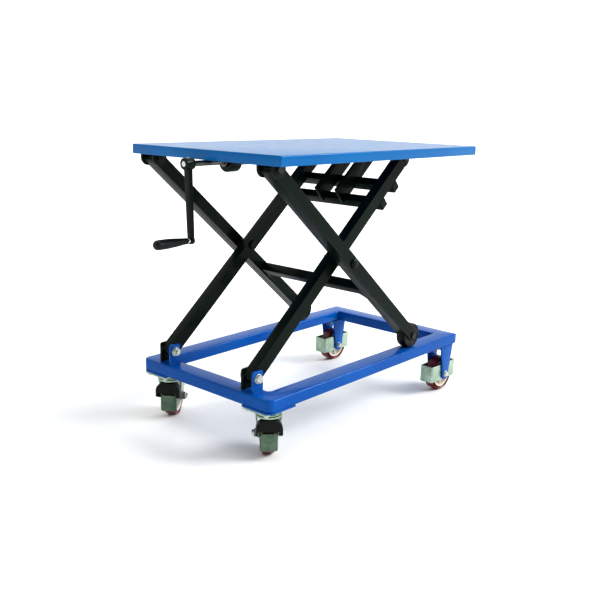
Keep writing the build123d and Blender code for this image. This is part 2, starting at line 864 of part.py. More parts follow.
def build_pedal(plane):
    """Arched foot lever over the front of the wheel, with an arm each side to the axle."""
    inner = fork_gap / 2 + fork_plate + 1.5
    outer = inner + pedal_thickness
    low = wheel_radius - 12
    with BuildPart() as pedal:
        with BuildSketch(across_front(plane, pedal_front)) as arch:
            with Locations((0, (pedal_top + low) / 2)):
                Rectangle(2 * outer, pedal_top - low)
            fillet(arch.vertices().group_by(Axis.Y)[-1], pedal_round)
        extrude(amount=pedal_front + swivel_trail + 14)
        with BuildSketch(across_front(plane, pedal_front)) as opening:
            with Locations((0, (pedal_top - pedal_thickness + low) / 2)):
                Rectangle(2 * inner, pedal_top - pedal_thickness - low)
            fillet(opening.vertices().group_by(Axis.Y)[-1], pedal_round - pedal_thickness)
        extrude(amount=pedal_front + swivel_trail + 14, mode=Mode.SUBTRACT)
        with BuildSketch(across_front(plane, pedal_front)) as hood:
            with Locations((0, (pedal_top + pedal_web_low) / 2)):
                Rectangle(2 * outer, pedal_top - pedal_web_low)
            fillet(hood.vertices().group_by(Axis.Y)[-1], pedal_round)
        extrude(amount=pedal_web)
        with BuildSketch(across(plane, outer + 5)):
            with BuildLine():
                Polyline(
                    (pedal_back, pedal_top),
                    (pedal_front, pedal_top),
                    (pedal_front, pedal_low),
                    (4 - swivel_trail, wheel_radius - 9),
                    (-4 - swivel_trail, wheel_radius + 9),
                    (pedal_back, pedal_low + 9),
                    close=True,
                )
            make_face()
            with Locations((-swivel_trail, wheel_radius)):
                Circle(10)
        extrude(amount=2 * outer + 10, mode=Mode.INTERSECT)
        with BuildSketch(across(plane, outer + 5)):
            with Locations((-swivel_trail, wheel_radius)):
                Circle(axle_radius + running_fit)
        extrude(amount=2 * outer + 10, mode=Mode.SUBTRACT)
    return pedal


swivel_reach = fork_gap / 2 + fork_plate + 1.5 + pedal_thickness + side_gap
for (name, side), angle in zip(sides, swivel_angles):
    plate_plane = Plane(origin=(corner_plate_x, side * corner_plate_y, plate_low))
    with BuildPart() as plate:
        with BuildSketch(plate_plane) as plate_outline:
            Rectangle(corner_plate, corner_plate)
            outer_corner = plate_outline.vertices().group_by(Axis.X)[0].sort_by(Axis.Y)
            fillet(outer_corner[0 if side < 0 else -1], bend_radius)
        extrude(amount=corner_plate_thickness)
    finish(plate, "corner_plate_" + name)

    fixed = Plane(origin=(swivel_x, side * swivel_y, 0), x_dir=(1, 0, 0), z_dir=(0, 0, 1))
    finish(build_swivel_race(fixed), "swivel_race_" + name)

    a = radians(angle)
    plane = Plane(origin=(swivel_x, side * swivel_y, 0), x_dir=(cos(a), sin(a), 0), z_dir=(0, 0, 1))
    finish(build_swivel_fork(plane), "swivel_fork_" + name)
    finish(build_toe_guard(plane), "toe_guard_" + name)
    finish(build_pedal(plane), "brake_pedal_" + name)
    finish(build_tyre(plane, -swivel_trail), "swivel_tyre_" + name)
    finish(build_core(plane, -swivel_trail), "swivel_core_" + name)
    gather([axle_bolt(plane, -swivel_trail, swivel_reach)], "swivel_axle_" + name)
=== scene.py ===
import json
import math
import random

import bmesh
import bpy
from mathutils import Matrix, Vector

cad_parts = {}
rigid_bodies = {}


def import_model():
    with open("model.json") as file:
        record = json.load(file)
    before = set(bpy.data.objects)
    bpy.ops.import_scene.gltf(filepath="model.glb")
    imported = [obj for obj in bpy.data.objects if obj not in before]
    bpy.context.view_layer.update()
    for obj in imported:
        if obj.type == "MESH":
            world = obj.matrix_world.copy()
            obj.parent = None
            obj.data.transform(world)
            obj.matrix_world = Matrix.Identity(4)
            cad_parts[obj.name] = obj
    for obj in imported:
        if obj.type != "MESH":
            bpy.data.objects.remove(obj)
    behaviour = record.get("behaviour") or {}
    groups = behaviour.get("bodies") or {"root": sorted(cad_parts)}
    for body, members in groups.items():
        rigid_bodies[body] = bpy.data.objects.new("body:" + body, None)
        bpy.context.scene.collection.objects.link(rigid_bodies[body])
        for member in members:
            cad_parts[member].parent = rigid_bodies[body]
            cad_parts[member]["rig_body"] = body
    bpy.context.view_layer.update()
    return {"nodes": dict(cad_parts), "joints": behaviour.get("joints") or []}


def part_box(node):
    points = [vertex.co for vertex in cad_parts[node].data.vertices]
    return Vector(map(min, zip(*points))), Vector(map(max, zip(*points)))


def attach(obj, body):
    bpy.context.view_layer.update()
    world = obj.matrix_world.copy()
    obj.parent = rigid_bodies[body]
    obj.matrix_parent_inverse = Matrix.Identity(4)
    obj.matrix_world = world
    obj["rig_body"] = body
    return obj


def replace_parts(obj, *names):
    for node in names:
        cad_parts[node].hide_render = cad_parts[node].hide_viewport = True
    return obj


# Looks for the scissor lift table. Metres, in the CAD frame: X = Y = 0 under the table's middle,
# Z = 0 on the floor, -X is the crank end, "near" is -Y and "far" is +Y.

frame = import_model()
NODES = frame["nodes"]
JOINTS = {joint["name"]: joint for joint in frame["joints"]}
SIDES = (("near", -1.0), ("far", 1.0))
MM = 0.001

PIVOT = Vector(JOINTS["lift"]["pos_m"])
CENTRE = Vector(JOINTS["scissor"]["pos_m"])
TABLE_PIVOT = Vector(JOINTS["table_pivot"]["pos_m"])
NUT = Vector(JOINTS["nut_trunnion"]["pos_m"])
LIFT_ANGLE = math.atan2(CENTRE.z - PIVOT.z, CENTRE.x - PIVOT.x)
BASE_LOW, BASE_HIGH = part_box("base_end_tube")
BASE_TOP = BASE_HIGH.z
BASE_UNDER = BASE_LOW.z


# ================= node materials =================
WORN_EDGE = (0.60, 0.74)  # pointiness where wear on an edge starts and is full
FINE_RELIEF = 0.0002  # metres of bump
class Nodes:
    """Small helper that wires one procedural material."""

    def __init__(self, name):
        self.mat = bpy.data.materials.new(name)
        self.mat.use_nodes = True
        self.tree = self.mat.node_tree
        self.shader = self.tree.nodes["Principled BSDF"]
        coords = self.tree.nodes.new("ShaderNodeTexCoord")
        self.coords = coords.outputs["Object"]

    def set(self, **values):
        for key, value in values.items():
            self.shader.inputs[key.replace("_", " ")].default_value = value

    def link(self, source, target):
        self.tree.links.new(source, target)

    def stretched(self, x, y, z):
        node = self.tree.nodes.new("ShaderNodeMapping")
        node.inputs["Scale"].default_value = (x, y, z)
        self.link(self.coords, node.inputs["Vector"])
        return node.outputs["Vector"]

    def noise(self, scale, detail=3.0, rough=0.5, vector=None):
        node = self.tree.nodes.new("ShaderNodeTexNoise")
        node.inputs["Scale"].default_value = scale
        node.inputs["Detail"].default_value = detail
        node.inputs["Roughness"].default_value = rough
        self.link(vector or self.coords, node.inputs["Vector"])
        return node.outputs["Fac"]

    def cells(self, scale):
        node = self.tree.nodes.new("ShaderNodeTexVoronoi")
        node.inputs["Scale"].default_value = scale
        self.link(self.coords, node.inputs["Vector"])
        return node.outputs["Color"]

    def span(self, value, low, high, out_low=0.0, out_high=1.0):
        node = self.tree.nodes.new("ShaderNodeMapRange")
        node.inputs["From Min"].default_value = low
        node.inputs["From Max"].default_value = high
        node.inputs["To Min"].default_value = out_low
        node.inputs["To Max"].default_value = out_high
        self.link(value, node.inputs["Value"])
        return node.outputs["Result"]

    def mix(self, factor, first, second):
        node = self.tree.nodes.new("ShaderNodeMix")
        node.data_type = "RGBA"
        self.link(factor, node.inputs["Factor"])
        for socket, value in ((node.inputs["A"], first), (node.inputs["B"], second)):
            if isinstance(value, tuple):
                socket.default_value = (*value, 1.0)
            else:
                self.link(value, socket)
        return node.outputs["Result"]

    def times(self, first, second):
        node = self.tree.nodes.new("ShaderNodeMath")
        node.operation = "MULTIPLY"
        self.link(first, node.inputs[0])
        if isinstance(second, float):
            node.inputs[1].default_value = second
        else:
            self.link(second, node.inputs[1])
        return node.outputs["Value"]

    def edges(self, low, high):
        geometry = self.tree.nodes.new("ShaderNodeNewGeometry")
        return self.span(geometry.outputs["Pointiness"], low, high)

    def bump(self, height, strength, distance):
        node = self.tree.nodes.new("ShaderNodeBump")
        node.inputs["Strength"].default_value = strength
        node.inputs["Distance"].default_value = distance
        self.link(height, node.inputs["Height"])
        self.link(node.outputs["Normal"], self.shader.inputs["Normal"])

    def colour(self, value):
        self.link(value, self.shader.inputs["Base Color"])

    def roughness(self, value):
        self.link(value, self.shader.inputs["Roughness"])


def paint(name, base, deep, worn, rough, coat, wear, spec):
    """Sprayed paint: faint orange peel, uneven depth of colour, rubbed edges and a little dust."""
    m = Nodes(name)
    drift = m.span(m.noise(5.0, 4.0), 0.35, 0.7)
    body = m.mix(drift, base, deep)
    rubbed = m.times(m.edges(*WORN_EDGE), m.span(m.noise(60.0, 5.0, 0.7), 0.45, 0.62))
    body = m.mix(m.times(rubbed, wear), body, worn)
    speck = m.span(m.noise(420.0, 2.0), 0.70, 0.76)
    m.colour(m.mix(m.times(speck, 0.12), body, worn))
    m.roughness(m.span(m.noise(28.0, 4.0), 0.3, 0.75, rough - 0.03, rough + 0.05))
    m.set(Coat_Weight=coat, Coat_Roughness=0.07, Metallic=0.0, Specular_IOR_Level=spec)
    m.bump(m.noise(650.0, 2.0), 0.06, FINE_RELIEF)
    return m.mat


def zinc(name, base, stain, rough):
    """Bright zinc plate with cloudy passivation and fine spangle."""
    m = Nodes(name)
    cloud = m.span(m.noise(35.0, 5.0, 0.6), 0.35, 0.68)
    body = m.mix(cloud, base, stain)
    m.colour(m.mix(m.times(m.edges(*WORN_EDGE), 0.5), body, (0.7, 0.73, 0.68)))
    m.roughness(m.span(m.cells(260.0), 0.0, 1.0, rough - 0.08, rough + 0.1))
    m.set(Metallic=0.85)
    m.bump(m.noise(500.0, 3.0), 0.1, FINE_RELIEF)
    return m.mat


def turned(name, base, dark, rough, axis):
    """Turned or ground steel: fine rings along the part's axis and an oil film in patches."""
    m = Nodes(name)
    stretch = [40.0, 40.0, 40.0]
    stretch[axis] = 2600.0
    rings = m.noise(1.0, 2.0, 0.6, m.stretched(*stretch))
    oil = m.span(m.noise(45.0, 4.0), 0.4, 0.65)
    m.colour(m.mix(oil, base, dark))
    m.roughness(m.span(rings, 0.2, 0.8, rough - 0.08, rough + 0.14))
    m.set(Metallic=1.0)
    m.bump(rings, 0.18, 0.0001)
    return m.mat


def tyre_rubber(name, base, dusty):
    """Cast polyurethane: slightly cloudy, scuffed where it rolls."""
    m = Nodes(name)
    cloud = m.span(m.noise(22.0, 3.0), 0.3, 0.7)
    scuff = m.span(m.noise(170.0, 5.0, 0.7), 0.5, 0.72)
    body = m.mix(cloud, base, tuple(0.6 * c for c in base))
    m.colour(m.mix(m.times(scuff, 0.45), body, dusty))
    m.roughness(m.span(scuff, 0.0, 1.0, 0.32, 0.62))
    m.bump(m.noise(380.0, 4.0), 0.2, 0.0004)
    return m.mat


def moulded(name, base, shade, rough, grain, depth):
    """Moulded plastic with a fine spark-eroded grain."""
    m = Nodes(name)
    drift = m.span(m.noise(30.0, 3.0), 0.35, 0.7)
    body = m.mix(drift, base, shade)
    rubbed = tuple(min(1.0, 2.2 * c + 0.01) for c in base)
    m.colour(m.mix(m.times(m.edges(*WORN_EDGE), 0.4), body, rubbed))
    m.roughness(m.span(m.noise(90.0, 4.0), 0.3, 0.7, rough - 0.06, rough + 0.08))
    m.set(Specular_IOR_Level=0.2)
    m.bump(m.noise(grain, 2.0), depth, FINE_RELIEF)
    return m.mat


FRAME_BLUE = paint(
    "frame_blue_paint", base=(0.0008, 0.100, 0.400), deep=(0.0005, 0.072, 0.320), worn=(0.03, 0.20, 0.44),
    rough=0.24, coat=0.22, wear=0.35, spec=0.05,
)
TABLE_BLUE = paint(
    "table_blue_paint", base=(0.0015, 0.140, 0.390), deep=(0.001, 0.118, 0.345), worn=(0.04, 0.22, 0.42),
    rough=0.30, coat=0.25, wear=0.3, spec=0.08,
)
SCISSOR_BLACK = paint(
    "scissor_black_paint", base=(0.0035, 0.010, 0.0065), deep=(0.0025, 0.007, 0.005),
    worn=(0.035, 0.05, 0.04), rough=0.36, coat=0.08, wear=0.4, spec=0.06,
)
FITTING_BLACK = paint(
    "fitting_black_paint", base=(0.005, 0.011, 0.008), deep=(0.003, 0.007, 0.005), worn=(0.05, 0.06, 0.05),
    rough=0.38, coat=0.1, wear=0.5, spec=0.08,
)
ZINC = zinc("zinc_plate", (0.42, 0.53, 0.43), (0.28, 0.38, 0.29), 0.3)
# Darker copy of the plate zinc for the swivel toe guards: painted shade, the same zinc as the other guards
# drawn as it looks in shadow.
TOE_ZINC_PAINTED_SHADE = zinc("zinc_toe_guard_painted_shade", (0.13, 0.19, 0.14), (0.075, 0.12, 0.085), 0.3)
ZINC_BOLT = zinc("zinc_bolt", (0.62, 0.64, 0.60), (0.46, 0.48, 0.43), 0.26)
BOLT_BLACK = turned("black_oxide_bolt", (0.050, 0.052, 0.050), (0.022, 0.023, 0.022), 0.34, 1)
STEEL_Y = turned("turned_steel_y", (0.55, 0.55, 0.54), (0.26, 0.25, 0.23), 0.3, 1)
SCREW_STEEL = turned("oiled_screw_steel", (0.16, 0.16, 0.15), (0.05, 0.048, 0.042), 0.3, 1)
NUT_IRON = turned("nut_iron", (0.045, 0.048, 0.045), (0.018, 0.020, 0.018), 0.42, 0)
CHROME = turned("grip_ferrule_chrome", (0.75, 0.75, 0.76), (0.6, 0.6, 0.6), 0.14, 0)
TYRE_RED = tyre_rubber("tyre_red_urethane", (0.17, 0.014, 0.018), (0.20, 0.12, 0.11))
CORE_CREAM = moulded("core_cream_plastic", (0.72, 0.68, 0.58), (0.62, 0.57, 0.47), 0.38, 700.0, 0.1)
GRIP_BLACK = moulded("grip_black_plastic", (0.010, 0.014, 0.012), (0.006, 0.009, 0.008), 0.28, 900.0, 0.1)
PEDAL_BLACK = moulded("pedal_black_plastic", (0.008, 0.010, 0.009), (0.005, 0.006, 0.006), 0.4, 800.0, 0.25)
SEAL_BLACK = moulded("bearing_seal", (0.012, 0.012, 0.012), (0.008, 0.008, 0.008), 0.45, 900.0, 0.1)


# ================= mesh helpers =================
def at(x, y, z):
    return Vector((x, y, z)) * MM


def shade(mesh, angle):
    for polygon in mesh.polygons:
        polygon.use_smooth = True
    mesh.set_sharp_from_angle(angle=math.radians(angle))


def piece(name, mesh, material, body, angle=32.0):
    """Links a finished mesh as a piece that rides on a CAD body."""
    mesh.materials.clear()
    mesh.materials.append(material)
    shade(mesh, angle)
    obj = bpy.data.objects.new(name, mesh)
    bpy.context.scene.collection.objects.link(obj)
    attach(obj, body)
    return obj


def mesh_from(name, verts, faces):
    mesh = bpy.data.meshes.new(name)
    mesh.from_pydata(verts, [], faces)
    bm = bmesh.new()
    bm.from_mesh(mesh)
    bmesh.ops.recalc_face_normals(bm, faces=bm.faces)
    bm.to_mesh(mesh)
    bm.free()
    return mesh


def tube_faces(rows, count):
    """Faces of a closed skin over rows of count points each, with a face over both ends."""
    faces = []
    for i in range(rows - 1):
        for k in range(count):
            a = i * count + k
            b = i * count + (k + 1) % count
            faces.append((a, b, b + count, a + count))
    faces.append(tuple(range(count)))
    faces.append(tuple(range((rows - 1) * count, rows * count)))
    return faces


def basis(axis):
    """Two unit vectors square to an axis."""
    axis = axis.normalized()
    guess = Vector((0, 0, 1)) if abs(axis.z) < 0.9 else Vector((1, 0, 0))
    side = axis.cross(guess).normalized()
    return side, axis.cross(side)


def lathe_mesh(name, origin, axis, profile, seg=64):
    """Closed solid of revolution. The profile lists (along, radius) in mm, and goes round the section."""
    axis = axis.normalized()
    side, up = basis(axis)
    verts = []
    faces = []
    count = len(profile)
    for i in range(seg):
        turn = 2 * math.pi * i / seg
        spoke = side * math.cos(turn) + up * math.sin(turn)
        for along, radius in profile:
            verts.append(origin + (axis * along + spoke * radius) * MM)
    for i in range(seg):
        for k in range(count):
            a = i * count + k
            b = i * count + (k + 1) % count
            c = (i + 1) % seg * count + (k + 1) % count
            d = (i + 1) % seg * count + k
            faces.append((a, b, c, d))
    mesh = mesh_from(name, verts, faces)
    bm = bmesh.new()
    bm.from_mesh(mesh)
    bmesh.ops.remove_doubles(bm, verts=bm.verts, dist=1e-7)
    bmesh.ops.recalc_face_normals(bm, faces=bm.faces)
    bm.to_mesh(mesh)
    bm.free()
    return mesh


def lathe(name, origin, axis, profile, material, body, seg=64, angle=32.0):
    return piece(name, lathe_mesh(name, origin, axis, profile, seg), material, body, angle)


def rounded_rect(width, height, radius, steps=4):
    """Section loop of a tube with rounded edges, as (u, v) in mm."""
    loop = []
    for cx, cy, start in ((1, 1, 0), (-1, 1, 90), (-1, -1, 180), (1, -1, 270)):
        for i in range(steps + 1):
            turn = math.radians(start + 90 * i / steps)
            loop.append((
                cx * (width / 2 - radius) + radius * math.cos(turn),
                cy * (height / 2 - radius) + radius * math.sin(turn),
            ))
    return loop


def sweep(name, stations, section, closed=False):
    """Skins a section along stations of (point, across, up); across may be stretched at a mitre."""
    verts = []
    faces = []
    count = len(section)
    for point, across, up in stations:
        verts += [point + (across * u + up * v) * MM for u, v in section]
    steps = len(stations)
    for i in range(steps if closed else steps - 1):
        for k in range(count):
            a = i * count + k
            b = i * count + (k + 1) % count
            c = (i + 1) % steps * count + (k + 1) % count
            d = (i + 1) % steps * count + k
            faces.append((a, b, c, d))
    if not closed:
        faces.append(tuple(range(count)))
        faces.append(tuple(range((steps - 1) * count, steps * count)))
    return mesh_from(name, verts, faces)


def bead(name, points, radius, material, body, closed=False, seed=1):
    """Weld bead along a line of points, with the ripples of the pool."""
    rng = random.Random(seed)
    path = []
    legs = list(zip(points, points[1:] + points[:1] if closed else points[1:]))
    for a, b in legs:
        length = (b - a).length
        steps = max(2, int(length / (0.55 * MM)))
        path += [a.lerp(b, i / steps) for i in range(steps)]
    if not closed:
        path.append(points[-1])
    verts = []
    faces = []
    ring = 8
    total = len(path)
    for i, point in enumerate(path):
        ahead = path[(i + 1) % total] if closed or i + 1 < total else point
        behind = path[i - 1] if closed or i else point
        side, up = basis(ahead - behind)
        ripple = 1.0 + 0.13 * math.sin(i * 1.25) + rng.uniform(-0.05, 0.05)
        if not closed:
            ripple *= min(1.0, 0.35 + 0.2 * min(i, total - 1 - i))
        for k in range(ring):
            turn = 2 * math.pi * k / ring
            verts.append(point + (side * math.cos(turn) + up * math.sin(turn)) * radius * ripple * MM)
    for i in range(total if closed else total - 1):
        for k in range(ring):
            a = i * ring + k
            b = i * ring + (k + 1) % ring
            c = (i + 1) % total * ring + (k + 1) % ring
            d = (i + 1) % total * ring + k
            faces.append((a, b, c, d))
    if not closed:
        faces.append(tuple(range(ring)))
        faces.append(tuple(range((total - 1) * ring, total * ring)))
    return piece(name, mesh_from(name, verts, faces), material, body, 80.0)


def merge(name, meshes):
    """One mesh out of several."""
    bm = bmesh.new()
    for mesh in meshes:
        bm.from_mesh(mesh)
    merged = bpy.data.meshes.new(name)
    bm.to_mesh(merged)
    bm.free()
    return merged


def refine(node, material, width, segments=3, angle=32.0, keep_short=0.0):
    """Same shape as a CAD node, with its sharp edges rounded off as a real edge is. It replaces the node."""
    source = NODES[node]
    bm = bmesh.new()
    bm.from_mesh(source.data)
    bmesh.ops.remove_doubles(bm, verts=bm.verts, dist=2e-6)
    bmesh.ops.dissolve_limit(
        bm, angle_limit=math.radians(0.6), verts=bm.verts, edges=bm.edges, use_dissolve_boundaries=False
    )
    sharp = []
    for edge in bm.edges:
        if len(edge.link_faces) != 2:
            continue
        if edge.calc_face_angle(0.0) > math.radians(angle) and edge.calc_length() > keep_short * MM:
            sharp.append(edge)
    bmesh.ops.bevel(
        bm, geom=sharp, offset=width * MM, offset_type="OFFSET", segments=segments, profile=0.5,
        affect="EDGES", clamp_overlap=True,
    )
    mesh = bpy.data.meshes.new(node + "_fine")
    bm.to_mesh(mesh)
    bm.free()
    body = source["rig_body"]
    obj = piece(node + "_fine", mesh, material, body, 28.0)
    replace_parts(obj, node)
    return obj


def slab(name, origin, across, up, width, height, depth, radius=1.0, bevel=0.6):
    """Small rounded block: a rounded rectangle pushed along its normal, with eased rims."""
    normal = across.cross(up).normalized()
    section = rounded_rect(width, height, radius, 3)
    inner = rounded_rect(width - 2 * bevel, height - 2 * bevel, max(radius - bevel, 0.2), 3)
    rows = ((0.0, inner), (bevel, section), (depth - bevel, section), (depth, inner))
    verts = []
    for along, loop in rows:
        verts += [origin + (across * u + up * v + normal * along) * MM for u, v in loop]
    return mesh_from(name, verts, tube_faces(len(rows), len(section)))


def hexagon(name, origin, axis, across_flats, height, seat=1.6):
    """Chamfered hexagon head on a washer, standing on a face along its outward axis."""
    axis = axis.normalized()
    side, up = basis(axis)
    corner = across_flats / math.sqrt(3)
    flat = across_flats / 2
    verts = []
    faces = []
    rows = []
    for along, chamfer in ((seat, 0.0), (height - 1.4, 0.0), (height, 1.0)):
        row = []
        for k in range(24):
            turn = 2 * math.pi * k / 24
            local = (turn + math.pi / 6) % (math.pi / 3) - math.pi / 6
            radius = flat / math.cos(local)
            radius = min(radius, corner) - chamfer * (0.4 + 1.0 * (radius - flat))
            row.append(len(verts))
            spoke = side * math.cos(turn) + up * math.sin(turn)
            verts.append(origin + spoke * radius * MM + axis * along * MM)
        rows.append(row)
    for lower, upper in zip(rows, rows[1:]):
        for k in range(24):
            faces.append((lower[k], lower[(k + 1) % 24], upper[(k + 1) % 24], upper[k]))
    faces.append(tuple(rows[0]))
    faces.append(tuple(rows[-1]))
    washer = [(0, 0), (0, corner + 1.6), (seat - 0.4, corner + 1.6), (seat, corner + 1.2), (seat, 0)]
    return merge(name, [mesh_from(name, verts, faces), lathe_mesh(name, origin, axis, washer, 40)])


# ================= base frame =================
TUBE_WIDTH = (BASE_HIGH.x - BASE_LOW.x) / MM
TUBE_HEIGHT = (BASE_TOP - BASE_UNDER) / MM
TUBE_EDGE = 4.0
CORNER_OUTSIDE = 18.0
CORNER_INSIDE = 12.0
BEND_STEPS = 10
WELD_DROP = 1.4  # the weld on the tube's top lies this far below it, clear of the rollers
WELD_RADIUS = 1.35
SIDE_WELD_IN = 1.7
SIDE_WELD_RADIUS = 1.3
SIDE_WELD_GAP = 3
UP = Vector((0, 0, 1))


def frame_tubes():
    """The U of tube with its rounded corners, and the mitred end tube, with drawn tube's edges."""
    half_x = BASE_HIGH.x / MM - TUBE_WIDTH / 2
    half_y = BASE_HIGH.y / MM - TUBE_WIDTH / 2
    mid_z = (BASE_TOP + BASE_UNDER) / 2 / MM
    section = rounded_rect(TUBE_WIDTH, TUBE_HEIGHT, TUBE_EDGE)

    def path(u):
        """Plan line followed by the fibre that lies u outside the tube's middle."""
        share = u / TUBE_WIDTH + 0.5
        radius = CORNER_INSIDE + share * (CORNER_OUTSIDE - CORNER_INSIDE)
        line = [(half_x + u, -half_y - u)]
        for side, start in ((-1, 270), (1, 180)):
            for i in range(BEND_STEPS + 1):
                turn = math.radians(start - 90 // BEND_STEPS * i)
                line.append((
                    -(half_x + u) + radius + radius * math.cos(turn),
                    side * (half_y + u - radius) + radius * math.sin(turn),
                ))
        line.append((half_x + u, half_y + u))
        return line

    lines = [path(u) for u, _ in section]
    verts = []
    count = len(section)
    steps = len(lines[0])
    for i in range(steps):
        verts += [at(*lines[k][i], mid_z + section[k][1]) for k in range(count)]
    mesh = mesh_from("base_bent_tube_fine", verts, tube_faces(steps, count))
    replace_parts(piece("base_bent_tube_fine", mesh, FRAME_BLUE, "base"), "base_bent_tube")
    ends = [
        (at(half_x, -half_y, mid_z), Vector((1, -1, 0)), UP),
        (at(half_x, half_y, mid_z), Vector((1, 1, 0)), UP),
    ]
    mesh = sweep("base_end_tube_fine", ends, section)
    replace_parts(piece("base_end_tube_fine", mesh, FRAME_BLUE, "base"), "base_end_tube")
    for name, side in SIDES:
        outer = (half_x + TUBE_WIDTH / 2, side * (half_y + TUBE_WIDTH / 2))
        inner = (half_x - TUBE_WIDTH / 2, side * (half_y - TUBE_WIDTH / 2))
        top = BASE_TOP / MM - WELD_DROP
        line = [
            at(inner[0], inner[1], top),
            at(outer[0] - 2, outer[1] - side * 2, top),
        ]
        bead("mitre_weld_top_" + name, line, WELD_RADIUS, FRAME_BLUE, "base")
        line = [
            at(outer[0] - SIDE_WELD_IN, outer[1] - side * SIDE_WELD_IN, top - SIDE_WELD_GAP),
            at(outer[0] - SIDE_WELD_IN, outer[1] - side * SIDE_WELD_IN, BASE_UNDER / MM + SIDE_WELD_GAP),
        ]
        bead("mitre_weld_side_" + name, line, SIDE_WELD_RADIUS, FRAME_BLUE, "base")


def box_seam(name, x, y, z, size_x, size_y, radius, material, body, slot, seed):
    """Weld all round the foot of an upright plate."""
    corners = [
        at(x - size_x / 2, y - size_y / 2, z),
        at(x + size_x / 2, y - size_y / 2, z),
        at(x + size_x / 2, y + size_y / 2, z),
        at(x - size_x / 2, y + size_y / 2, z),
    ]
    return bead(name, corners, radius, material, body, closed=True, seed=seed)


LUG_Y = {"inner": 129.5, "outer": 164.5}
LUG_FOOT = (32.5, 6.5)
BOLT_RADIUS = 6
BOLT_FLATS = 18.0
HEAD_FACE = 167.5
NUT_FACE = 126.5


def split_shaded_cheek(clevis, name):
    """Each clevis is two separate cheeks. The +Y one is really blue like the other, but it is drawn black
    like the legs as painted shade for the cheek in shadow, so it becomes its own piece.
    """
    middle = dict(SIDES)[name] * 0.5 * (LUG_Y["inner"] + LUG_Y["outer"]) * MM
    halves = {}
    for part in ("blue", "black"):
        bm = bmesh.new()
        bm.from_mesh(clevis.data)
        unwanted = [v for v in bm.verts if (v.co.y > middle) != (part == "black")]
        bmesh.ops.delete(bm, geom=unwanted, context="VERTS")
        halves[part] = bm
    clevis.data.clear_geometry()
    halves["blue"].to_mesh(clevis.data)
    black = bpy.data.meshes.new("base_clevis_painted_shade_" + name)
    halves["black"].to_mesh(black)
    for bm in halves.values():
        bm.free()
    # This black half is painted shade: a blue cheek drawn black because it lies in shadow.
    piece("base_clevis_painted_shade_" + name, black, SCISSOR_BLACK, "base", 28.0)


def base_fittings():
    """Clevis lugs with their welds, pivot bolts and the plates under the bent corners."""
    for name, side in SIDES:
        clevis = refine("base_clevis_" + name, FRAME_BLUE, 0.9)
        # The +Y cheek is split off and drawn black as painted shade.
        split_shaded_cheek(clevis, name)
        refine("corner_plate_" + name, FRAME_BLUE, 0.8)
        for place, y in LUG_Y.items():
            box_seam(
                f"clevis_weld_{place}_{name}", PIVOT.x / MM, side * y, BASE_TOP / MM, *LUG_FOOT,
                2.0, FRAME_BLUE, "base", "frame_blue", 7,
            )
    bolts = []
    for name, side in SIDES:
        out = Vector((0, side, 0))
        bolts.append(hexagon("h", PIVOT + out * HEAD_FACE * MM, out, BOLT_FLATS, 8.5))
        bolts.append(hexagon("h", PIVOT + out * NUT_FACE * MM, -out, BOLT_FLATS, 9.5))
        shaft = [(0, 0), (0, BOLT_RADIUS), (54, BOLT_RADIUS), (54.6, 5.4), (54.6, 0)]
        bolts.append(lathe_mesh("h", PIVOT + out * 168 * MM, -out, shaft, 32))
    obj = piece("base_pivot_bolts_fine", merge("base_pivot_bolts_fine", bolts), ZINC_BOLT, "base")
    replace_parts(obj, "base_pivot_bolts")


# ================= scissor =================
def on_leg(angle, along, above, y):
    """Point at a station along a leg, at a height above its axis."""
    direction = Vector((math.cos(angle), 0, math.sin(angle)))
    normal = Vector((-math.sin(angle), 0, math.cos(angle)))
    return Vector((CENTRE.x, y * MM, CENTRE.z)) + (direction * along + normal * above) * MM


BAR_STATIONS = (226.0, 291.0)
BAR_SIZE = 24.0
BAR_ABOVE = -28.0
CROSS_STATION = 131.0
CROSS_SIZE = 25.0
CROSS_END = 179.6
BAR_END = 159.4
BAR_CAP_SIZE = 22.6
BAR_CAP_DEPTH = 2.6
BAR_WELD_ABOVE = -16.2
BAR_WELD_Y = (134.0, 160.0)
LEVER_FACES = (31.0, 39.0)


